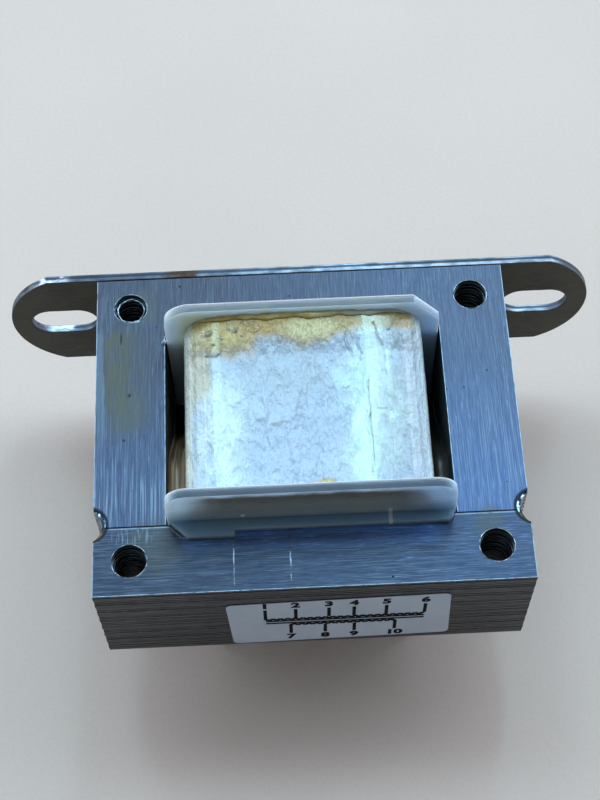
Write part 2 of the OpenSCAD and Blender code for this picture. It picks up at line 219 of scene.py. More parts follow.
class Skin:
    """A material under way: its tree, its shader and the few nodes that the recipes share."""

    def __init__(self, name, **values):
        self.material = bpy.data.materials.new(name)
        self.material.use_nodes = True
        self.tree = self.material.node_tree
        self.shader = self.tree.nodes["Principled BSDF"]
        for socket, value in values.items():
            self.shader.inputs[socket.replace("_", " ")].default_value = value
        self.place = self.node("ShaderNodeTexCoord").outputs["Object"]
        axes = self.node("ShaderNodeSeparateXYZ", inputs={0: self.place})
        self.x, self.y, self.z = (Value(self, socket) for socket in axes.outputs)

    def node(self, kind, inputs=(), **settings):
        node = self.tree.nodes.new(kind)
        for key, value in settings.items():
            setattr(node, key, value)
        for key, value in dict(inputs).items():
            self.feed(node.inputs[key], value)
        return node

    def feed(self, socket, value):
        if isinstance(value, Value):
            value = value.socket
        if isinstance(value, bpy.types.NodeSocket):
            self.tree.links.new(value, socket)
        else:
            socket.default_value = value

    def put(self, socket, value):
        self.feed(self.shader.inputs[socket], value)

    def calc(self, operation, a, b=0.0):
        node = self.node("ShaderNodeMath", operation=operation, inputs={0: a, 1: b})
        return Value(self, node.outputs[0])

    def shifted(self, shift, stretch=(1, 1, 1)):
        """The place, stretched and then shifted."""
        node = self.node("ShaderNodeMapping",
                         inputs={"Vector": self.place, "Location": shift, "Scale": stretch})
        return node.outputs[0]

    def noise(self, size, stretch=(1, 1, 1), detail=3.0, shift=0.0):
        """Noise with spots about size millimetres wide, longer where stretch is under 1."""
        node = self.node("ShaderNodeTexNoise",
                         inputs={"Vector": self.shifted((shift,) * 3, stretch), "Detail": detail,
                                 "Scale": 1 / (size * MM), "Roughness": 0.55})
        return Value(self, node.outputs["Fac"])

    def dots(self, size, radius, shift=0.0):
        """1 inside small round dots of radius (share of size), 0 outside."""
        node = self.node("ShaderNodeTexVoronoi",
                         inputs={"Vector": self.shifted((shift,) * 3), "Scale": 1 / (size * MM)})
        return Value(self, node.outputs["Distance"]).band(radius, radius * 0.6)

    def patch(self, x, y, wide, long, ragged=0.0, border=None, soft=0.35):
        """1 inside an oval about x, y (millimetres, seen from above), 0 outside it."""
        spread = (2 / (wide * MM), 2 / (long * MM), 0)
        away = self.shifted((-x * MM * spread[0], -y * MM * spread[1], 0), spread)
        node = self.node("ShaderNodeVectorMath", operation="LENGTH", inputs={0: away})
        reach = Value(self, node.outputs["Value"])
        if border is not None:
            reach = (border - 0.5) * ragged + reach
        return reach.band(1 + soft, 1 - soft)

    def random(self, seed):
        """A random number for each whole number of seed."""
        node = self.node("ShaderNodeTexWhiteNoise", noise_dimensions="1D",
                         inputs={"W": self.calc("FLOOR", seed)})
        return Value(self, node.outputs["Value"])

    def mix(self, share, a, b, blend_type="MIX"):
        node = self.node("ShaderNodeMix", data_type="RGBA", blend_type=blend_type)
        self.feed(node.inputs["Factor"], share)
        self.feed(node.inputs[6], a)
        self.feed(node.inputs[7], b)
        return node.outputs[2]

    def tint(self, share, a, colour):
        """Colour a, multiplied by another colour where share is 1."""
        return self.mix(share, a, self.mix(1.0, a, colour, "MULTIPLY"))

    def over(self, share, amount, a, b):
        """Colour b over colour a, at most by amount."""
        return self.mix(share * amount, a, b)

    def bump(self, height, strength, depth):
        node = self.node("ShaderNodeBump",
                         inputs={"Height": height, "Strength": strength, "Distance": depth * MM})
        self.put("Normal", node.outputs[0])

    def facing(self, axis):
        """How far the surface faces along an axis: 1 straight, 0 square to it."""
        geometry = self.node("ShaderNodeNewGeometry")
        parts = self.node("ShaderNodeSeparateXYZ", inputs={0: geometry.outputs["Normal"]})
        return abs(Value(self, parts.outputs["XYZ".index(axis)]))


def rgb(r, g, b, tone=1.0):
    return (r * tone, g * tone, b * tone, 1.0)


# ---- Finishes ----

def lamination_steel(name, along, tone, brushed):
    """Rolled electrical sheet: fine grain along one axis on the faces, stacked edges elsewhere; the faces
    also carry painted reflection, painted light by the ledge and painted edge highlights.
    """
    skin = Skin(name, Metallic=1.0)
    long_way = {"X": (0.05, 1, 1), "Y": (1, 0.05, 1)}[along]
    fine = skin.noise(0.11, long_way, detail=2)
    broad = skin.noise(0.3, long_way, detail=3, shift=0.3)
    cloud = skin.noise(9, detail=2, shift=0.7)
    grain = fine * 0.55 + broad * 0.45
    face = grain.fade(0.3, 0.7, rgb(0.016, 0.024, 0.04, tone), rgb(0.034, 0.05, 0.078, tone))
    face = skin.mix(cloud.band(0.3, 0.75, 0.0, 0.35), face, rgb(0.022, 0.028, 0.04, tone))
    glint = skin.noise(0.085, long_way, detail=1, shift=1.1)
    face = skin.mix(glint.band(0.58, 0.76, 0, brushed), face, rgb(0.07, 0.1, 0.15, tone))
    face = skin.mix(glint.band(0.42, 0.24, 0, brushed), face, rgb(0.008, 0.011, 0.018, tone))
    # Painted reflection: across and down make the faces lighter and bluer towards the right and the
    # front, where the cool light falls; they also set the faces' overall brightness.
    across = skin.mix(skin.x.zone(0, -20, 24), rgb(2.8, 2.5, 2.65), rgb(3.6, 3.65, 4.28))
    down = skin.mix(skin.y.zone(0, 12, -12), rgb(0.95, 0.9, 0.78), rgb(1.02, 1.14, 1.22))
    on_bar = skin.y.zone(JOINT_Y, 0.1, -0.1)
    # Painted light: the bar's face is lightened in front of the near flange's ledge, against the shade
    # and dark reflection that the flange casts there.
    painted_light_by_ledge = skin.y.zone(0, -16.4, -13.7) * on_bar * abs(skin.x).zone(0, 15.2, 12.6)
    tints = ((1.0, across), (1.0, down), (on_bar, rgb(0.7, 0.65, 0.58)), (painted_light_by_ledge, rgb(3.0, 4.2, 5.4)))
    for share, colour in tints:
        face = skin.tint(share, face, colour)
    drawn = skin.noise(0.13, {"X": (0.02, 1, 1), "Y": (1, 0.012, 1)}[along], detail=1, shift=2.3)
    drawn = drawn.band(0.54, 0.6) * cloud.band(0.35, 0.6, 0.3, 1.0) * skin.y.zone(0, 5, -8, 0.25, 1.0)
    face = skin.mix(drawn * {"X": 0.3, "Y": 0.65}[along], face, rgb(0.15, 0.21, 0.29))
    nicks = skin.dots(2.1, 0.1, 1.9) * cloud.band(0.55, 0.4) * skin.y.zone(JOINT_Y, 0.3, 1.3)
    face = skin.over(nicks, 0.8, face, rgb(0.008, 0.01, 0.014))
    face = varnish_stain(skin, face)
    scored = skin.noise(0.22, (1, 0.06, 1), detail=2, shift=0.35)
    scored = scored.band(0.5, 0.62) * skin.patch(-19.8, JOINT_Y / MM - 1.1, 4.6, 2.0, 0.5, cloud)
    face = skin.over(scored, 0.4, face, rgb(0.17, 0.23, 0.31))
    specks = skin.dots(2.6, 0.07) * cloud.band(0.45, 0.6)
    face = skin.mix(specks, face, rgb(0.015, 0.015, 0.018))
    # Painted highlights along the punched edges.
    face = skin.mix(edge_shine(skin), face, rgb(0.26, 0.34, 0.44))
    chipped = skin.noise(0.45, detail=3, shift=1.4)
    for x, y, wide, long in ((-20.1, 3.95, 0.4, 0.4), (-21.1, 11.4, 0.22, 1.5)):
        mark = skin.patch(x, y, wide, long, 3.0, chipped, 0.4)
        face = skin.over(mark, 0.7, face, rgb(0.01, 0.013, 0.018))
    for side in (-1, 1):
        scorched = skin.patch(side * (seam_high.x / MM + 0.6), NOTCH_Y / MM, 4.7, 4.5, 0.05, cloud, 0.05)
        face = skin.over(scorched, 0.9, face, rgb(0.01, 0.013, 0.02))
    seam = abs(skin.y - (JOINT_Y + 0.03 * MM))
    face = skin.mix(seam.zone(0, 0.1, 0.05), face, rgb(0.004, 0.004, 0.005))

    sheet = (skin.z - CORE_BOTTOM) * (1 / SHEET_PITCH)
    each = skin.random(sheet)
    deep = skin.random(sheet + 0.5).band(0.3, 0.62, 0.3, 1.0)
    gap = deep * abs(skin.calc("FRACT", sheet) - 0.5).band(0.24, 0.36)
    drag = skin.noise(1.6, (1, 1, 6), detail=3, shift=0.2)
    nick = skin.noise(2.4, (0.1, 0.1, 9), detail=3, shift=0.8)
    edge = skin.mix(each, rgb(0.06, 0.061, 0.063), rgb(0.135, 0.137, 0.142))
    edge = skin.mix(drag.band(0.42, 0.68, 0, 0.7), edge, rgb(0.165, 0.17, 0.18))
    edge = skin.mix(gap * nick.band(0.7, 0.5, 0.4, 1.0), edge, rgb(0.006, 0.006, 0.007))
    flat = skin.facing("Z").band(0.4, 0.6)
    skin.put("Base Color", skin.mix(flat, edge, face))
    rough = grain.band(0.2, 0.8, 0.34, 0.5)
    skin.put("Roughness", flat.band(1, 0) * 0.12 + rough)
    height = (gap - flat) * (-0.6) + grain
    skin.bump(height, 0.35, 0.02)
    return skin.material


def varnish_stain(skin, face):
    """Thin yellow-grey varnish that ran over the left leg, with a sharp outer border, and spots."""
    ragged = skin.noise(2.2, (1, 0.35, 1), detail=3, shift=0.9)
    mottle = skin.noise(1.5, (1, 0.5, 1), detail=5, shift=1.7)
    left = ragged * (2.2 * MM) + skin.x
    length = mottle * (5 * MM) + skin.y
    stretch = length.zone(WINDOW_BACK, 4.4, 2.4) * length.zone(0, -1, 7)
    bare = stretch * left.zone(-CORE_HALF, 2.2, 2.0)
    face = skin.over(bare, 0.26, face, rgb(0.13, 0.19, 0.23))
    patch = stretch * left.zone(-CORE_HALF, 2.1, 2.4) * left.zone(-CORE_HALF, 8.6, 3.0)
    patch = patch * mottle.band(0.3, 0.6, 0.35, 0.85)
    face = skin.mix(patch, face, rgb(0.062, 0.068, 0.054))
    spots = ((-17.2, CORE_FRONT / MM + 5.6, 5.2), (-20.2, 1.5, 4.0),
             (-18.5, WINDOW_BACK / MM + 4, 3.6), (19.5, JOINT_Y / MM - 1.2, 3.2))
    for x, y, reach in spots:
        share = skin.patch(x, y, reach, reach * 1.2, 1.4, mottle, 0.5)
        face = skin.over(share, 0.45, face, rgb(0.062, 0.072, 0.064))
    return face


def edge_shine(skin):
    """Painted highlights: thin bright lines on the punched edges, the outline, the windows and the joint.
    """
    across = abs(skin.x)
    shine = across.zone(CORE_HALF, -0.14, -0.04)
    shine = skin.calc("MAXIMUM", shine, skin.y.zone(CORE_FRONT, 0.16, 0.05))
    beside = abs(across - WINDOW_HALF)
    inside = skin.y.zone(JOINT_Y, 0, 0.2) * skin.y.zone(WINDOW_BACK, 0.1, 0)
    shine = skin.calc("MAXIMUM", shine, inside * beside.zone(0, 0.1, 0.04))
    ends = abs(skin.y - (JOINT_Y - 0.17 * MM))
    shine = skin.calc("MAXIMUM", shine, ends.zone(0, 0.1, 0.03, 0, 0.5))
    broken = skin.noise(1.1, detail=3, shift=0.5)
    return shine * broken.band(0.32, 0.55, 0.25, 1.0)


def plate_steel():
    """Cold-rolled strip: brown-grey faces, a pale sheared edge and heat tint on its left half."""
    skin = Skin("plate_steel", Metallic=1.0)
    cloud = skin.noise(5, detail=4)
    fine = skin.noise(0.25, (0.2, 1, 1), detail=3)
    face = cloud.fade(0.3, 0.7, rgb(0.051, 0.047, 0.039), rgb(0.091, 0.085, 0.07))
    face = skin.mix(fine.band(0.45, 0.75, 0, 0.4), face, rgb(0.112, 0.112, 0.104))
    chips = skin.dots(4.6, 0.06, 0.4) * cloud.band(0.5, 0.65)
    face = skin.mix(chips, face, rgb(0.75, 0.76, 0.78))
    torn = skin.noise(0.8, (0.45, 1, 1), detail=4)
    edge = torn.fade(0.35, 0.65, rgb(0.13, 0.18, 0.25), rgb(0.34, 0.43, 0.53))
    shear = abs(skin.y - ((plate_low.y + plate_high.y) / 2 + 0.12 * MM))
    edge = skin.mix(shear.zone(0, 0.24, 0.1, 0, 0.9), edge, rgb(0.024, 0.036, 0.058))
    dim = skin.x.zone(0, -29.5, -27) * skin.x.zone(0, 4, -12)
    edge = skin.over(dim, 0.75, edge, rgb(0.03, 0.041, 0.064))
    rough_ear = skin.x.zone(0, -27, -29) * torn.band(0.45, 0.62)
    edge = skin.mix(rough_ear, edge, rgb(0.55, 0.66, 0.8))
    arcs = abs(skin.x).zone(0, 30, 32)
    edge = skin.over(arcs, 0.8, edge, rgb(0.07, 0.085, 0.115))
    burnt = skin.x.zone(0, -17, -14.6) * skin.x.zone(0, -11.4, -12.6)
    burnt = burnt * skin.noise(1.0, shift=0.2).band(0.3, 0.55)
    edge = skin.mix(burnt, edge, rgb(0.045, 0.03, 0.022))
    flat = skin.facing("Y").band(0.55, 0.8)
    skin.put("Base Color", skin.mix(flat, edge, face))
    skin.put("Roughness", cloud.band(0.3, 0.7, 0.36, 0.52))
    skin.bump(fine + cloud, 0.25, 0.03)
    return skin.material


def weld_metal():
    """A flat fused seam: shiny towards the back of its notch, brown and dull towards the front."""
    skin = Skin("weld_metal", Metallic=1.0)
    waver = skin.noise(1.4, detail=3, shift=0.2)
    along = waver * (1.1 * MM) + skin.x + skin.z
    ripple = skin.calc("SINE", along * (2 * math.pi / WELD_RIPPLE))
    ripple = ripple * 0.16 + skin.noise(0.5, (1, 1, 2.2), detail=3)
    tint = skin.noise(1.3, detail=3, shift=0.6)
    shiny = ripple.fade(0.42, 0.72, rgb(0.018, 0.026, 0.038), rgb(0.34, 0.44, 0.55))
    brown = tint.fade(0.4, 0.62, rgb(0.014, 0.012, 0.011), rgb(0.085, 0.05, 0.028))
    front = tint * (1.0 * MM) + skin.y
    turned = front.zone(JOINT_Y, -0.1, 0.9)
    skin.put("Base Color", skin.mix(turned, brown, shiny))
    skin.put("Roughness", ripple.band(0.3, 0.7, 0.36, 0.2))
    skin.bump(ripple, 0.5, 0.08)
    return skin.material


def bright_edge(name, tone):
    """Bare steel where a burr or a scratch has broken the grey skin."""
    skin = Skin(name, Metallic=1.0)
    broken = skin.noise(0.7, detail=3)
    skin.put("Base Color", broken.fade(0.35, 0.62, rgb(0.05, 0.068, 0.09), rgb(0.28, 0.36, 0.44, tone)))
    skin.put("Roughness", broken.band(0.3, 0.7, 0.42, 0.26))
    skin.bump(broken, 0.4, 0.03)
    return skin.material


def natural_nylon():
    """Milky nylon, with the brown of the coil showing through the near flange as painted brown and
    painted shade; painted shade on the tops, rims and the near flange's foot, painted light on the far
    flange, and two painted highlights.
    """
    skin = Skin("natural_nylon", Roughness=0.32, IOR=1.16, Subsurface_Weight=1.0,
                Subsurface_Radius=(1.0, 1.0, 1.0), Subsurface_Scale=0.004)
    cloud = skin.noise(6, detail=3)
    milk = cloud.fade(0.3, 0.7, rgb(0.42, 0.55, 0.68), rgb(0.5, 0.64, 0.78))
    waver = skin.noise(3.5, (1, 1, 1.4), detail=2, shift=0.4)
    across = waver * (3 * MM) + abs(skin.x)
    height = waver * (1.4 * MM) + skin.z
    # Where the coil stands behind the near flange the milk is painted brown and darker: the coil's brown
    # showing through, with painted shade.
    behind = across.zone(0, 15.4, 11.2) * height.zone(CORE_TOP, 0.8, 3.6)
    behind = behind * height.zone(CORE_TOP, 7.9, 6.7)
    near = skin.y.zone(FLANGE_FRONT, 0.1, -0.1)
    brown = skin.mix(skin.z.zone(CORE_TOP, 3.4, 6.4), rgb(0.225, 0.27, 0.275),
                     rgb(0.13, 0.14, 0.14))
    milk = skin.mix(behind * near, milk, brown)
    # Painted shade: the foot of the near flange is painted darker and bluer.
    low = near * skin.z.zone(CORE_TOP, 4.2, 0.6)
    milk = skin.over(low, 0.85, milk, rgb(0.17, 0.27, 0.35))
    # Painted light: the back half, the far flange, is a little lighter, standing in for light through the
    # nylon.
    milk = skin.mix(skin.y.zone(0, 0, 1, 0, 0.12), milk, rgb(0.66, 0.82, 0.94))
    right = skin.x.zone(0, 7, 15)
    far_half = skin.y.zone(0, 0, 1)
    milk = skin.tint(right, milk, skin.mix(far_half, rgb(0.74, 0.82, 0.96), rgb(0.62, 0.7, 0.87)))
    # Painted shade on the top rims of both flanges, to damp the light that their rounded edges catch.
    upper = skin.z.zone(CORE_TOP, 6.72, 6.95)
    back_rim_shade = upper * skin.y.zone(FLANGE_BACK, 0.72, 0.85)
    near_rim_shade = upper * skin.y.zone(0, 1, 0, 0, 0.35)
    rim = skin.calc("MAXIMUM", back_rim_shade, near_rim_shade)
    # Below the core and on the back of the far flange the milk turns greyer and neutral; the blue of the
    # milk elsewhere is a painted cast of the cool light.
    hidden = skin.calc("MAXIMUM", skin.z.zone(CORE_BOTTOM, 0.5, -0.5),
                       skin.y.zone(FLANGE_BACK, 0.7, 0.95))
    milk = skin.over(hidden, 0.75, milk, rgb(0.54, 0.59, 0.62))
    milk = skin.tint(rim, milk, rgb(0.28, 0.3, 0.32))
    # Painted shade: faces that look up are painted much darker, against the light that falls on them from
    # above and behind.
    up = skin.facing("Z").band(0.45, 0.95, 0, 0.92)
    top = skin.mix(skin.z.zone(CORE_TOP, 2, 5), rgb(0.17, 0.31, 0.45), rgb(0.066, 0.094, 0.132))
    milk = skin.mix(up, milk, skin.mix(far_half, top, rgb(0.13, 0.172, 0.205)))
    # More painted shade on the far flange's back rim.
    milk = skin.tint(back_rim_shade, milk, rgb(0.55, 0.54, 0.52))
    # Painted highlights: a thin light streak and a light dot on the near flange's face.
    streak_highlight = near * skin.x.line(8.6 * MM, 0.6) * skin.z.zone(CORE_TOP, 0, 0.5)
    streak_highlight = streak_highlight * skin.z.zone(CORE_TOP, 2.4, 1.2)
    milk = skin.over(streak_highlight, 0.55, milk, rgb(0.8, 0.88, 0.94))
    highlight_dot = near * skin.x.line(-7.5 * MM, 0.6) * skin.z.line(CORE_TOP + 1.7 * MM, 0.6)
    milk = skin.mix(highlight_dot, milk, rgb(0.88, 0.92, 0.95))
    far = skin.y.zone(FLANGE_BACK, -0.4, -0.1) * skin.y.zone(FLANGE_BACK, 0.7, 0.3)
    beside = waver * (1.6 * MM) + abs(skin.x)
    over = waver * (1.2 * MM) + skin.z
    soaked = beside.zone(wrap_high.x, 2.6, 0) * over.zone(wrap_high.z, 1.9, 0.2)
    soaked = soaked * far * skin.x.zone(0, 16, -4, 0.3, 0.8)
    milk = skin.mix(soaked, milk, rgb(0.42, 0.45, 0.32))
    skin.put("Base Color", milk)
    scuff = skin.noise(0.5, (0.3, 1, 1), detail=4, shift=0.1)
    skin.put("Roughness", scuff.band(0.3, 0.8, 0.26, 0.42))
    skin.bump(scuff + waver, 0.1, 0.04)
    return skin.material


def coil_tape():
    """White film tape over the coil, wet with varnish: amber by the back flange and down the left. Its
    bluish white is partly painted cool light, and it carries painted glare, a painted shadow line and
    painted light on its sides.
    """
    skin = Skin("coil_tape", IOR=1.42, Subsurface_Weight=0.35, Subsurface_Radius=(1, 1, 1),
                Subsurface_Scale=0.001, Coat_Weight=0.9, Coat_Roughness=0.1)
    thread = skin.noise(0.45, detail=4, shift=0.2)
    crease = skin.noise(1.3, (1.2, 0.5, 1), detail=3, shift=0.8)
    ragged = skin.noise(3.2, (1, 0.8, 1), detail=4, shift=0.5)
    cloud = skin.noise(4.5, (1, 0.6, 1), detail=5)
    film = cloud.fade(0.36, 0.62, rgb(0.37, 0.58, 0.79), rgb(0.42, 0.64, 0.85))
    film = skin.mix(thread.band(0.46, 0.74, 0, 0.4), film, rgb(0.49, 0.72, 0.89))
    # Painted glare and a painted shadow line on the film.
    film = tight_film(skin, film, crease, ragged)
    film = soaked_film(skin, film, crease, ragged)
    # Painted light on the film's sides.
    film = film_sides(skin, film, cloud)
    marks = ((8.3, -2.15, 1.5, 0.26), (-3.4, -3.6, 1.3, 0.5), (-2.6, -3.3, 0.7, 0.3),
             (6.3, 4.3, 0.3, 0.9), (-2.4, -11.0, 0.5, 0.4))
    for x, y, wide, long in marks:
        mark = skin.patch(x, y, wide, long, 1.2, thread, 0.3)
        film = skin.over(mark, 0.55, film, rgb(0.16, 0.19, 0.18))
    lint = skin.dots(1.9, 0.055, 0.7) * cloud.band(0.42, 0.6)
    film = skin.over(lint, 0.6, film, rgb(0.14, 0.16, 0.16))
    skin.put("Base Color", film)
    skin.put("Roughness", thread.band(0.35, 0.7, 0.2, 0.4))
    relief = thread * 0.12 + crease
    relief = cloud * 0.8 + relief
    ridge = (crease * (1.6 * MM) + skin.x).line(7.6 * MM, 0.5)
    ridge = ridge * skin.patch(6.8, -3.4, 3, 11, 0.8, ragged, 0.2)
    relief = ridge * 0.8 + relief
    wet = skin.y.zone(FLANGE_BACK, -5.5, -2.5, 1.0, 1.9)
    calm = wet * skin.facing("Z").band(0.2, 0.85, 0.25, 1.0)
    skin.bump(relief * calm, 1.0, 1.3)
    return skin.material


def tight_film(skin, film, crease, ragged):
    """Painted reflection: glare makes the film brighter in two broad lengthwise patches and two small
    ones, a middle patch is darker, and a painted shadow line runs beside the tape's end.
    """
    dull = skin.patch(-2.4, 3.0, 12, 7.5, 1.6, ragged, 0.5)
    film = skin.over(dull, 0.75, film, rgb(0.36, 0.56, 0.7))
    broken = crease.band(0.3, 0.58, 0.25, 1.0)
    glare_patches = ((-9.4, -4.8, 6.0, 15.0, rgb(0.6, 0.86, 0.95)),
             (7.6, -2.6, 6.4, 14.5, rgb(0.5, 0.84, 0.93)),
             (4.6, 2.2, 3.4, 3.4, rgb(0.5, 0.84, 0.93)),
             (4.8, -7.6, 3.2, 2.6, rgb(0.52, 0.85, 0.93)))
    for x, y, wide, long, colour in glare_patches:
        share = skin.patch(x, y, wide, long, 1.3, ragged) * broken
        film = skin.over(share, 0.85, film, colour)
    # Painted shadow: a dark line beside the edge of the tape's end.
    seam_shadow = (crease * (0.5 * MM) + skin.x).line(7.25 * MM, 0.28)
    seam_shadow = seam_shadow * skin.patch(7.0, -3.6, 3, 10, soft=0.1)
    return skin.over(seam_shadow, 0.8, film, rgb(0.16, 0.28, 0.3))


def soaked_film(skin, film, crease, ragged):
    """Varnish soaked in by the back flange: cream pools with ochre borders, and a drop in front."""
    back = ragged * (2.4 * MM) + skin.y
    cream = back.zone(FLANGE_BACK, -1.6, -0.4)
    film = skin.over(cream, 0.85, film, rgb(0.56, 0.51, 0.21))
    pools = ((-9.3, 8.4, 8.8, 6.0, rgb(0.56, 0.51, 0.19)),
             (-4.2, 9.6, 6.0, 3.8, rgb(0.54, 0.42, 0.1)),
             (0.6, 8.9, 9.6, 4.8, rgb(0.62, 0.67, 0.37)),
             (9.6, 9.9, 9.0, 3.2, rgb(0.33, 0.32, 0.15)),
             (1.7, -11.2, 2.4, 1.5, rgb(0.66, 0.6, 0.16)))
    for x, y, wide, long, colour in pools:
        rim = skin.patch(x, y, wide * 1.1, long * 1.14, 1.1, ragged, 0.24)
        pool = skin.patch(x, y, wide * 0.88, long * 0.82, 1.1, ragged, 0.26)
        film = skin.over(rim, 0.7, film, rgb(0.41, 0.32, 0.09))
        film = skin.over(pool, 0.92, film, colour)
    vein = skin.noise(1.6, (0.7, 1, 1), detail=4, shift=2.1)
    vein = abs(vein - 0.5).band(0.035, 0.008)
    vein = vein * back.zone(FLANGE_BACK, -2.6, -1.2)
    film = skin.over(vein, 0.35, film, rgb(0.36, 0.25, 0.06))
    amber = back.zone(FLANGE_BACK, -0.7, 0.9)
    amber = amber * crease.band(0.3, 0.6, 0.45, 1.0)
    film = skin.over(amber, 0.9, film, rgb(0.46, 0.36, 0.1))
    fade = skin.patch(-12.2, 4.6, 4.4, 9.0, 1.2, ragged, 0.5)
    return skin.over(fade, 0.7, film, rgb(0.45, 0.45, 0.25))


def film_sides(skin, film, cloud):
    """The film's lengthwise streaks where it turns down over the coil's sides, painted lighter than the
    top as painted light.
    """
    streak = skin.noise(0.5, (1, 0.04, 1), detail=2, shift=0.6)
    turned = (cloud * (0.6 * MM) + skin.z).zone(wrap_high.z, -0.5, -1.9)
    left = streak.fade(0.38, 0.62, rgb(0.56, 0.7, 0.7), rgb(0.86, 0.93, 0.8))
    right = streak.fade(0.38, 0.62, rgb(0.58, 0.82, 0.94), rgb(0.78, 0.95, 1.0))
    side = skin.mix(skin.x.zone(0, -1, 1), left, right)
    return skin.over(turned, 0.9, film, side)


def varnish(name, clear, deep, pale, right):
    """Set varnish, darker and paler by a noise, with its own colour on the right."""
    skin = Skin(name, Roughness=0.07, IOR=1.45, Transmission_Weight=clear)
    tone = skin.noise(1.3, detail=2)
    colour = skin.mix(tone.band(0.35, 0.65), deep, pale)
    skin.put("Base Color", skin.mix(skin.x.zone(0, 0, 8), colour, right))
    return skin.material


def gap_film():
    """Brown varnish that dried in streaks between the coil and the core; towards the back and the right
    it is painted near black, as painted shade deep in the gap.
    """
    skin = Skin("gap_film", IOR=1.5, Coat_Weight=0.3, Coat_Roughness=0.2)
    streak = skin.noise(0.35, (1, 0.02, 0.05), detail=2)
    # Painted shade: away from the front left the film is near black.
    shown = skin.y.zone(0, 7, 3) * skin.x.zone(0, 12, -12, 0.05, 1.0)
    brown = streak.fade(0.35, 0.65, rgb(0.1, 0.062, 0.035), rgb(0.5, 0.36, 0.24))
    skin.put("Base Color", skin.mix(shown, rgb(0.002, 0.002, 0.002), brown))
    skin.put("Roughness", streak.band(0.3, 0.7, 0.55, 0.35))
    skin.bump(streak, 0.4, 0.05)
    return skin.material


def label_paper():
    skin = Skin("label_paper", IOR=1.45, Coat_Weight=0.15, Coat_Roughness=0.3)
    fibre = skin.noise(0.35, detail=4)
    cloud = skin.noise(5, detail=2, shift=0.3)
    paper = cloud.fade(0.3, 0.7, rgb(0.42, 0.52, 0.66), rgb(0.48, 0.58, 0.71))
    skin.put("Base Color", skin.mix(fibre.band(0.4, 0.7, 0, 0.3), paper, rgb(0.54, 0.63, 0.76)))
    skin.put("Roughness", fibre.band(0.3, 0.7, 0.42, 0.55))
    skin.bump(fibre, 0.15, 0.02)
    return skin.material


def drifting(name, size, detail, low, high, a, b, **values):
    """A finish whose colour drifts between two tones, and the noise that it drifts by."""
    skin = Skin(name, **values)
    tone = skin.noise(size, detail=detail)
    skin.put("Base Color", tone.fade(low, high, a, b))
    return skin, tone


def label_ink():
    return drifting("label_ink", 0.3, 3, 0.4, 0.8, rgb(0.006, 0.006, 0.007), rgb(0.03, 0.03, 0.035),
                    Roughness=0.6, IOR=1.1)[0].material


def enamelled_copper(name, across):
    """Enamelled wire; across gives the winding a fine pattern of turns along Y."""
    skin, tone = drifting(name, 1.2, 3, 0.3, 0.7, rgb(0.52, 0.2, 0.07), rgb(0.78, 0.36, 0.14),
                          Metallic=1.0, Roughness=0.28, Coat_Weight=0.7, Coat_Roughness=0.1)
    if across:
        turns = skin.calc("SINE", skin.y * (2 * math.pi / (across * MM)))
        skin.bump(turns, 0.8, 0.1)
    return skin.material


def insulation_film():
    skin, tone = drifting("insulation_film", 2, 3, 0.3, 0.7, rgb(0.62, 0.45, 0.1),
                          rgb(0.75, 0.6, 0.2), Roughness=0.2, IOR=1.6)
    skin.bump(tone, 0.2, 0.05)
    return skin.material


def tinned_metal():
    skin, tone = drifting("tinned_metal", 0.5, 4, 0.3, 0.7, rgb(0.5, 0.5, 0.48),
                          rgb(0.78, 0.77, 0.74), Metallic=1.0)
    skin.put("Roughness", tone.band(0.3, 0.7, 0.18, 0.38))
    skin.bump(tone, 0.3, 0.04)
    return skin.material


def floor_card():
    skin = Skin("floor_card", Roughness=0.85)
    grain = skin.noise(0.5, detail=3)
    cloud = skin.noise(60, detail=2)
    pale = cloud.fade(0.3, 0.7, rgb(0.665, 0.6, 0.56), rgb(0.7, 0.625, 0.585))
    skin.put("Base Color", skin.mix(grain.band(0.4, 0.7, 0, 0.25), pale, rgb(0.59, 0.535, 0.5)))
    skin.bump(grain, 0.15, 0.05)
    return skin.material


# ---- Working on a mesh ----

def only(piece):
    """Makes piece the one selected and active object."""
    bpy.ops.object.select_all(action="DESELECT")
    bpy.context.view_layer.objects.active = piece
    piece.select_set(True)


def start(name):
    """Names the primitive that was just added, and puts its place in its mesh."""
    piece = bpy.context.view_layer.objects.active
    piece.name = name
    piece.data.name = name
    bpy.ops.object.transform_apply(location=True, rotation=True, scale=True)
    return piece


def add(primitive, name, **settings):
    """Adds a primitive with its place in its mesh, ready to be shaped."""
    bpy.ops.object.select_all(action="DESELECT")
    primitive(**settings)
    return start(name)


def add_ring(name, middle, radius, half, around, sides, **settings):
    """A ring of round section; half is half its thickness, around and sides count its faces."""
    return add(bpy.ops.mesh.primitive_torus_add, name, location=middle, major_radius=radius,
               minor_radius=half, major_segments=around, minor_segments=sides, **settings)


def joined(pieces, name):
    """Several pieces made into one."""
    only(pieces[0])
    for piece in pieces:
        piece.select_set(True)
    bpy.ops.object.join()
    pieces[0].name = name
    pieces[0].data.name = name
    return pieces[0]


def pick(piece, kind, test):
    """Selects the faces or edges of piece whose middle and direction pass test, in edit mode."""
    only(piece)
    bpy.ops.object.mode_set(mode="EDIT")
    bpy.ops.mesh.select_mode(type=kind)
    bpy.ops.mesh.select_all(action="DESELECT")
    bpy.ops.object.mode_set(mode="OBJECT")
    mesh = piece.data
    if kind == "FACE":
        for face in mesh.polygons:
            face.select = test(face.center, face.normal)
    else:
        for edge in mesh.edges:
            a, b = (mesh.vertices[v].co for v in edge.vertices)
            edge.select = test((a + b) / 2, (b - a).normalized())
    bpy.ops.object.mode_set(mode="EDIT")


def done():
    bpy.ops.object.mode_set(mode="OBJECT")


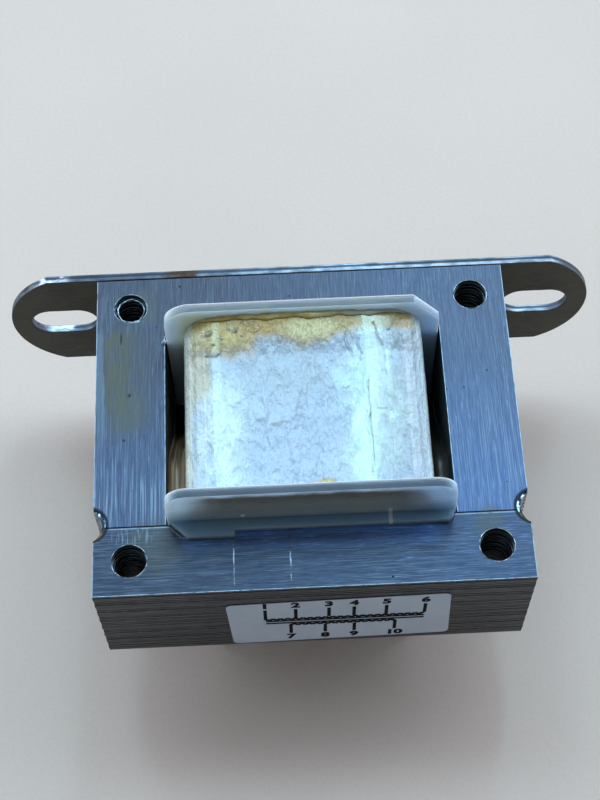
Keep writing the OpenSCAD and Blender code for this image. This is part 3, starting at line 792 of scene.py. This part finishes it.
def cut_up(piece, kind, test, cuts):
    """Cuts the picked edges or faces into more, for a later shape to bend."""
    pick(piece, kind, test)
    bpy.ops.mesh.subdivide(number_cuts=cuts)
    done()


def corners(piece):
    """The places of a piece's vertices, which move the vertices when they change."""
    return [vertex.co for vertex in piece.data.vertices]


def angle_round(at, x, y):
    """The direction of a place from the upright axis through x, y."""
    return math.atan2(at.y - y, at.x - x)


def upright(at, way):
    return abs(way.z) > 0.9


def lengthwise(at, way):
    return abs(way.y) > 0.9


def every(at, way):
    return True


def apply_modifier(piece, kind, **settings):
    only(piece)
    modifier = piece.modifiers.new(kind.lower(), kind)
    for key, value in settings.items():
        setattr(modifier, key, value)
    bpy.ops.object.modifier_apply(modifier=modifier.name)


def smooth(piece, degrees=35):
    only(piece)
    bpy.ops.object.shade_smooth_by_angle(angle=math.radians(degrees))
    return piece


def fit_out(piece, finish, slot, *nodes):
    """Gives piece its finish and its body, and hides the nodes that it stands for; slot is not used."""
    piece.data.materials.clear()
    piece.data.materials.append(finish)
    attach(piece, "root")
    if nodes:
        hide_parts(*nodes)
    return piece


def softened(node, name, width, segments=2):
    """A copy of a CAD node with its loose triangles merged and its sharp edges eased."""
    bpy.ops.object.select_all(action="DESELECT")
    piece = frame["nodes"][node].copy()
    piece.data = piece.data.copy()
    piece.name = name
    piece.parent = None
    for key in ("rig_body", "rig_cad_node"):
        del piece[key]
    bpy.context.scene.collection.objects.link(piece)
    only(piece)
    bpy.ops.object.mode_set(mode="EDIT")
    bpy.ops.mesh.select_mode(type="FACE")
    bpy.ops.mesh.select_all(action="SELECT")
    bpy.ops.mesh.remove_doubles(threshold=0.002 * MM)
    bpy.ops.mesh.dissolve_limited(angle_limit=math.radians(2))
    bpy.ops.object.mode_set(mode="OBJECT")
    smooth(piece)
    if width:
        apply_modifier(piece, "BEVEL", width=width * MM, segments=segments, harden_normals=True,
                       limit_method="ANGLE", angle_limit=math.radians(40))
    return piece


# ---- Pieces ----

def hole_burr(number, x, y, finish):
    """The bright lip that the punch left round a core hole."""
    burr = add_ring("hole_burr_%d" % number, (x, y, CORE_TOP), HOLE_R + 0.03 * MM, BURR_HALF, 64, 8)
    for at in corners(burr):
        angle = angle_round(at, x, y)
        lift = 0.6 + 0.35 * math.sin(3 * angle + number) + 0.2 * math.sin(7 * angle)
        at.z = CORE_TOP + (at.z - CORE_TOP) * lift
    return fit_out(smooth(burr, 60), finish, "core_steel")


def hole_edges(number, x, y, finish):
    """The edges of the upper sheets inside a core hole, each a little out of line."""
    rings = []
    shown, step, slip = 9, 1.35 * SHEET_PITCH, 0.05 * MM
    for sheet in range(shown):
        height = CORE_TOP - (sheet + 0.8) * step
        turn = 2.4 * sheet + 1.7 * number
        middle = (x + slip * math.cos(turn), y + slip * math.sin(turn), height)
        ring = add_ring("hole_edge", middle, HOLE_R, 0.09 * MM, 48, 6)
        for at in corners(ring):
            angle = angle_round(at, x, y)
            at.z = height + (at.z - height) * (0.7 + 0.3 * math.sin(5 * angle + turn))
        rings.append(ring)
    edges = joined(rings, "hole_edges_%d" % number)
    return fit_out(smooth(edges, 60), finish, "core_steel")


def hole_collar(x, y, finish):
    """Varnish that dried as a broken ring just inside one core hole."""
    middle = (x, y, CORE_TOP - 0.55 * MM)
    collar = add_ring("varnish_collar", middle, HOLE_R - 0.36 * MM, 0.13 * MM, 72, 10)
    for at in corners(collar):
        angle = angle_round(at, x, y)
        swell = 1 + 0.018 * math.sin(5 * angle) + 0.012 * math.sin(13 * angle + 1)
        at.x = x + (at.x - x) * swell
        at.y = y + (at.y - y) * swell
        at.z += 0.03 * MM * math.sin(9 * angle)
    return fit_out(smooth(collar, 60), finish, "core_steel")


def make_seam(side, finish):
    """A weld seam with the ripples that the torch left, one behind the other down the notch."""
    node = "weld_seam_%s" % ("left" if side < 0 else "right")
    seam = softened(node, "%s_run" % node, 0)
    cut_up(seam, "EDGE", upright, 95)
    hollow = Vector((side * (CORE_HALF + NOTCH_OUT), NOTCH_Y))
    for at in corners(seam):
        off = abs((at.xy - hollow).length - NOTCH_R)
        if off < 0.02 * MM:
            along = (at.y - NOTCH_Y) / MM
            share = max(1 - (along / NOTCH_SHARE) ** 2, 0)
            wave = 1 + math.sin(2 * math.pi * at.z / WELD_RIPPLE + 1.2 * along ** 2)
            at.x -= side * RIPPLE_DEPTH * share * wave
    return fit_out(smooth(seam, 60), finish, "weld_metal", node)


def make_plate(finish):
    plate = softened("mounting_plate", "plate", 0.12)
    return fit_out(plate, finish, "plate_steel", "mounting_plate")


def make_bobbin(finish):
    bobbin = softened("bobbin", "nylon_bobbin", 0.16, 3)
    return fit_out(bobbin, finish, "nylon", "bobbin")


def make_wrap(finish):
    """The taped coil: a box with well rounded corners, crowned and a little uneven."""
    middle = (wrap_low + wrap_high) / 2
    size = wrap_high - wrap_low
    wrap = add(bpy.ops.mesh.primitive_cube_add, "taped_coil", size=1, location=middle, scale=size)
    pick(wrap, "EDGE", lengthwise)
    bpy.ops.mesh.bevel(offset=COIL_CORNER, segments=10, profile=0.5)
    done()
    cut_up(wrap, "EDGE", lengthwise, 23)
    cut_up(wrap, "EDGE", lambda at, way: abs(way.x) > 0.9 and abs(at.x) < 1 * MM, 23)
    cut_up(wrap, "EDGE", lambda at, way: abs(way.z) > 0.9 and abs(at.z - middle.z) < 1 * MM, 23)
    half_x, half_z = size.x / 2, size.z / 2
    for at in corners(wrap):
        x, z = at.x / half_x, (at.z - middle.z) / half_z
        if abs(z) > 0.6:
            at.z -= math.copysign(COIL_CROWN * abs(x) ** CROWN_CURVE, z)
        if abs(x) > 0.6:
            at.x -= math.copysign(SIDE_CROWN * abs(z) ** CROWN_CURVE, x)
    wrinkle = bpy.data.textures.new("wrinkle", "CLOUDS")
    wrinkle.noise_scale = 2.6 * MM
    apply_modifier(wrap, "DISPLACE", texture=wrinkle, texture_coords="LOCAL", strength=0.1 * MM,
                   mid_level=1.0)
    return fit_out(smooth(wrap, 50), finish, "tape", "outer_wrap")


def coil_top(x):
    """Height of the taped coil's top at x, round corners and crown included."""
    past = max(abs(x) - (wrap_high.x - COIL_CORNER), 0)
    corner = COIL_CORNER - math.sqrt(max(COIL_CORNER ** 2 - past ** 2, 0))
    crown = COIL_CROWN * abs(x / wrap_high.x) ** CROWN_CURVE
    return wrap_high.z - corner - crown - 0.07 * MM


def make_tape_end(finish):
    """The last turn's end: one more layer of tape with a slightly ragged edge along the coil."""
    left, right = 7.1 * MM, 12.6 * MM
    front, back = FLANGE_FRONT + 0.25 * MM, FLANGE_BACK - 0.5 * MM
    middle_x, middle_y = (left + right) / 2, (front + back) / 2
    strip = add(bpy.ops.mesh.primitive_plane_add, "tape_end", size=1, location=(middle_x, middle_y, 0))
    for at in corners(strip):
        at.x = left if at.x < middle_x else right
        at.y = front if at.y < middle_y else back
    cut_up(strip, "FACE", every, 31)
    for at in corners(strip):
        x, y = at.x, at.y
        if x < left + 0.01 * MM:
            x += 0.05 * MM * math.sin(y / MM * 1.7) + 0.03 * MM * math.sin(y / MM * 5.3)
            x -= (y - front) / (back - front) * 0.4 * MM
        fade = (x - left) / (right - left)
        at[:] = (x, y, coil_top(x) + 0.08 * MM * (1 - fade) - 0.06 * MM * fade)
    apply_modifier(strip, "SOLIDIFY", thickness=TAPE, offset=-1)
    return fit_out(smooth(strip, 50), finish, "tape")


def varnish_bead(name, finish, points, radius, flat=0.6):
    """A run of set varnish along points, thin at both ends, made from a ball drawn out along them."""
    bead = add(bpy.ops.mesh.primitive_uv_sphere_add, name, segments=16,
               ring_count=max(len(points), 8) * 2, radius=1, location=(0, 0, 0))
    steps = len(points) - 1
    for at in corners(bead):
        share = (at.z + 1) / 2 * steps
        first = min(int(share), steps - 1)
        a, b = Vector(points[first]), Vector(points[first + 1])
        along = (b - a).normalized()
        side = Vector((0, 0, 1)).cross(along)
        side = side.normalized() if side.length > 0.1 else Vector((1, 0, 0))
        other = along.cross(side)
        spot = a.lerp(b, share - first)
        wave = 1 + 0.25 * math.sin(share * 2.6 + len(name)) + 0.12 * math.sin(share * 7.1)
        at[:] = (spot + side * at.x * radius * wave + other * at.y * radius * wave * flat) * MM
    pick(bead, "FACE", every)
    bpy.ops.mesh.normals_make_consistent(inside=False)
    done()
    return fit_out(smooth(bead, 60), finish, "tape")


def make_varnish(finish, clear):
    """What the varnish bath left: fillets by both flanges, crests, runs and a few bubbles."""
    back = FLANGE_BACK / MM - 0.28
    front = FLANGE_FRONT / MM + 0.2
    fillet = [(x, back - 0.12 * math.sin(x * 1.1), coil_top(x * MM) / MM + 0.12)
              for x in range(-12, 13)]
    varnish_bead("varnish_fillet_back", finish, fillet, 0.42)
    crests = (((5.0, 8.0), (4.7, 6.9), (4.9, 5.8), (5.5, 4.9)),
              ((6.2, 7.0), (6.0, 6.0), (6.6, 4.6)),
              ((8.1, 8.6), (8.3, 7.2), (9.0, 5.6)),
              ((-12.0, 6.4), (-11.0, 5.5), (-9.9, 5.4), (-9.0, 6.1)),
              ((-6.6, 8.9), (-5.6, 8.1), (-5.2, 8.4), (-4.6, 9.2)),
              ((-8.6, 9.2), (-7.9, 8.3), (-7.2, 8.9)),
              ((-7.0, 9.6), (-6.2, 9.0), (-5.4, 9.6)),
              ((-11.6, 8.6), (-11.0, 8.1), (-10.4, 8.5)))
    for number, crest in enumerate(crests, 1):
        line = [(x, y, coil_top(x * MM) / MM + 0.02) for x, y in crest]
        varnish_bead("varnish_crest_%d" % number, clear, line, 0.19)
    foot = CORE_TOP / MM + 0.06
    ledge = [(-15.7, -12.5, foot), (-15.0, -13.3, foot), (-14.2, -14.1, foot), (-12.5, -14.12, foot),
             (-10.6, -14.12, foot), (-8.9, -14.12, foot)]
    varnish_bead("varnish_ledge", clear, ledge, 0.13)
    corner = [(-16.35, 10.4, foot), (-16.0, 11.1, foot + 0.1), (-15.7, 11.5, foot)]
    varnish_bead("varnish_corner", clear, corner, 0.3)
    lip = [(x * 0.5, front, coil_top(x * 0.5 * MM) / MM + 0.05) for x in range(-9, 10)]
    varnish_bead("varnish_fillet_front", finish, lip, 0.26)
    bubbles = [(-10.6, 1.9, 0.42), (-9.2, 2.6, 0.3), (-7.6, 1.7, 0.34), (-6.9, 2.4, 0.22),
               (-10.1, 3.4, 0.2), (7.9, 1.5, 0.26), (9.6, 2.3, 0.22)]
    for number, (x, away, radius) in enumerate(bubbles, 1):
        y = back - away
        z = coil_top(x * MM) / MM - 0.02
        line = [(x - radius, y, z), (x, y + 0.1, z + 0.05), (x + radius, y, z)]
        varnish_bead("varnish_bubble_%d" % number, clear, line, radius, 0.5)


def make_gap_film(name, side, finish):
    """A sagging film of varnish low down between the coil and a leg; its finish paints the part deep in
    the gap near black, as painted shade.
    """
    near, far = wrap_high.x + 0.06 * MM, WINDOW_HALF - 0.06 * MM
    front, back = FLANGE_FRONT + 0.05 * MM, FLANGE_BACK - 0.05 * MM
    film = add(bpy.ops.mesh.primitive_plane_add, name, size=1, location=(0, 0, 0))
    for at in corners(film):
        at.x = side * (near if at.x * side < 0 else far)
        at.y = front if at.y < 0 else back
    pick(film, "FACE", every)
    bpy.ops.mesh.subdivide(number_cuts=23)
    bpy.ops.mesh.normals_make_consistent(inside=False)
    done()
    for at in corners(film):
        across = (abs(at.x) - near) / (far - near)
        sag = 0.5 * math.sin(across * math.pi) + 0.12 * math.sin(at.y / MM * 1.9 + side)
        share = min(max((9 - at.y / MM) / 14, 0), 1)
        climb = 11.5 * share * share * (3 - 2 * share)
        at.z = CORE_BOTTOM + (2.4 - sag + climb) * MM
    apply_modifier(film, "SOLIDIFY", thickness=0.15 * MM, offset=0)
    return fit_out(smooth(film, 60), finish, "tape")


def make_label(finish):
    label = softened("label", "label_slip", 0.02, 1)
    for at in corners(label):
        if at.y < (label_low.y + label_high.y) / 2:
            at.y += PRINT_ROOM
    return fit_out(label, finish, "label", "label")


def print_digit(name, number, x, z, finish):
    """A small raised number on the label."""
    bpy.ops.object.select_all(action="DESELECT")
    bpy.ops.object.text_add()
    mark = bpy.context.view_layer.objects.active
    mark.data.body = str(number)
    mark.data.size = DIGIT
    mark.data.align_x = "CENTER"
    mark.data.align_y = "CENTER"
    mark.data.extrude = 0.004 * MM
    mark.data.offset = 0.11 * MM
    mark.data.resolution_u = 3
    bpy.ops.object.convert(target="MESH")
    mark = bpy.context.view_layer.objects.active
    mark.rotation_euler = (math.radians(90), 0, 0)
    mark.location = (x * MM, PRINT_Y, z * MM)
    start(name)
    return fit_out(mark, finish, "label")


def print_line(name, low, high, finish):
    """A straight printed line or bar between two corners, (x, z) in millimetres."""
    middle = ((low[0] + high[0]) / 2 * MM, PRINT_Y, (low[1] + high[1]) / 2 * MM)
    size = ((high[0] - low[0]) * MM, 0.008 * MM, (high[1] - low[1]) * MM)
    line = add(bpy.ops.mesh.primitive_cube_add, name, size=1, location=middle, scale=size)
    pick(line, "EDGE", lengthwise)
    bpy.ops.mesh.bevel(offset=0.05 * MM, segments=2)
    done()
    return fit_out(line, finish, "label")


def print_arc(x, z, up):
    """One printed half turn of a winding."""
    middle = (x * MM, PRINT_Y, z * MM)
    arc = add_ring("print_turn", middle, TURN_R, TURN_WIRE, 24, 6, rotation=(math.radians(90), 0, 0))
    for at in corners(arc):
        at.y = PRINT_Y + (at.y - PRINT_Y) * 0.03
    pick(arc, "FACE", every)
    bpy.ops.mesh.bisect(plane_co=middle, plane_no=(0, 0, -up), use_fill=True, clear_outer=True)
    done()
    return arc


def print_winding(name, left, count, z, up, finish):
    """A printed row of half turns."""
    arcs = [print_arc(left + 2 * turn * TURN_R / MM, z, up) for turn in range(count)]
    return fit_out(joined(arcs, name), finish, "label")


def print_label(finish):
    """Plain numbers for the taps along both long edges, and the two windings between them."""
    top = label_high.z / MM - 1.5
    low = label_low.z / MM + 1.6
    middle = (top + low) / 2 - 0.1
    near, far = 0.12, 0.54
    bars = {"upper": (middle + near, middle + far), "lower": (middle - far, middle - near)}
    upper, lower = middle + 1.2, middle - 1.2
    for row, first, places, height, tap_low, tap_high in (
            ("upper", 1, (-5.6, -2.2, 1.5, 4.3, 7.9, 12.2), top, upper, top - 1.1),
            ("lower", 7, (-2.8, 1.1, 4.4, 9.0), low, low + 1.1, lower)):
        for number, x in enumerate(places, first):
            print_digit("print_%s_%d" % (row, number), number, x, height, finish)
            tap = "print_%s_tap_%d" % (row, number)
            print_line(tap, (x - 0.2, tap_low), (x + 0.2, tap_high), finish)
    print_winding("print_winding_upper", -5.2, 21, upper, -1, finish)
    print_winding("print_winding_lower", -2.4, 14, lower, 1, finish)
    for row, (under, over) in bars.items():
        print_line("print_core_%s" % row, (-5.6, under), (12.2, over), finish)


def scratch(number, x, finish):
    """One bright vertical scratch on the I bar: a thin raised burr."""
    wide, length, high = 0.13 * MM, (7.4 - 0.5 * number) * MM, 0.016 * MM
    line = add(bpy.ops.mesh.primitive_cube_add, "bar_scratch_%d" % number, size=1,
               location=(x * MM, SCRATCH_Y, CORE_TOP), scale=(wide, length, high))
    cut_up(line, "EDGE", lengthwise, 15)
    for at in corners(line):
        at.x += 0.02 * MM * math.sin(at.y / MM * 3.1)
        if abs(at.y - SCRATCH_Y) > length * 0.49:
            at.x += (x * MM - at.x) * 0.8
    return fit_out(line, finish, "core_steel")


def make_lead(number, finish):
    """A wire with a round section instead of the plain six-sided one."""
    node = "lead_%d" % number
    wire = softened(node, "wire_%d" % number, 0)
    apply_modifier(wire, "SUBSURF", levels=1)
    return fit_out(smooth(wire, 70), finish, "enamelled_wire", node)


def make_solder(number, finish):
    """The solder that fills the turns of wire on a pin and runs out along it."""
    low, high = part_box("pin_%d" % number)
    x, y = (low.x + high.x) / 2, (low.y + high.y) / 2
    heart = low.z + PIN_TAIL + SOLDER_RISE
    solder = add(bpy.ops.mesh.primitive_uv_sphere_add, "solder_%d" % number, segments=24, ring_count=14,
                 radius=SOLDER_R, location=(x, y, heart))
    for at in corners(solder):
        rise = at.z - heart
        angle = angle_round(at, x, y)
        wide = 1 + 0.07 * math.sin(2 * angle + number) + 0.05 * math.sin(3 * angle + 2 * number)
        wide *= 0.98 if rise > 0 else 0.98 + 0.25 * rise / MM
        at[:] = (x + (at.x - x) * wide, y + (at.y - y) * wide, heart + rise * 0.72)
    return fit_out(smooth(solder, 60), finish, "tinned_pin")


def dress_nodes(finishes):
    """The CAD nodes that are shown as they are."""
    plain = {"e_laminations": "steel_y", "i_laminations": "steel_x", "primary_winding": "fine_copper",
             "secondary_winding": "thick_copper", "winding_insulation": "film",
             "plate_weld_left": "weld", "plate_weld_right": "weld"}
    plain.update(("pin_%d" % number, "tin") for number in PINS)
    for node, finish in plain.items():
        mesh = frame["nodes"][node].data
        mesh.materials.clear()
        mesh.materials.append(finishes[finish])


def lay_floor(finish):
    floor = add(bpy.ops.mesh.primitive_plane_add, "floor", size=3, location=(0, 0.3, 0))
    floor.data.materials.append(finish)


# ---- The scene ----

set_camera()
set_light()
amber = (rgb(0.64, 0.52, 0.15), rgb(0.84, 0.78, 0.4), rgb(0.6, 0.68, 0.6))
clear = (rgb(0.8, 0.88, 0.92), rgb(0.92, 0.96, 1.0), rgb(0.86, 0.92, 0.96))
finishes = {
    "steel_y": lamination_steel("lamination_steel_e", "Y", 0.68, 0.34),
    "steel_x": lamination_steel("lamination_steel_i", "X", 0.7, 0.62),
    "plate": plate_steel(),
    "weld": weld_metal(),
    "bright": bright_edge("bright_edge", 1.0),
    "scratch": bright_edge("scratched_steel", 0.6),
    "punched": bright_edge("punched_steel", 0.35),
    "nylon": natural_nylon(),
    "tape": coil_tape(),
    "varnish": varnish("varnish", 0.45, *amber),
    "clear": varnish("clear_varnish", 0.92, *clear),
    "gap_film": gap_film(),
    "paper": label_paper(),
    "ink": label_ink(),
    "copper": enamelled_copper("lead_copper", 0),
    "fine_copper": enamelled_copper("primary_copper", 0.35),
    "thick_copper": enamelled_copper("secondary_copper", 0.6),
    "film": insulation_film(),
    "tin": tinned_metal(),
}
lay_floor(floor_card())
dress_nodes(finishes)
for number, (x, y) in enumerate(HOLES, 1):
    hole_burr(number, x, y, finishes["bright"])
    hole_edges(number, x, y, finishes["punched"])
for number in PINS:
    make_lead(number, finishes["copper"])
    make_solder(number, finishes["tin"])
hole_collar(-HOLE_X, core_high.y - LEG / 2, finishes["bright"])
for side in (-1, 1):
    make_seam(side, finishes["weld"])
make_plate(finishes["plate"])
make_bobbin(finishes["nylon"])
make_wrap(finishes["tape"])
make_tape_end(finishes["tape"])
make_varnish(finishes["varnish"], finishes["clear"])
for side, name in ((-1, "varnish_and_shade_film_left"), (1, "varnish_and_shade_film_right")):
    make_gap_film(name, side, finishes["gap_film"])
make_label(finishes["paper"])
print_label(finishes["ink"])
for number, x in enumerate((-8.65, -2.5), 1):
    scratch(number, x, finishes["scratch"])
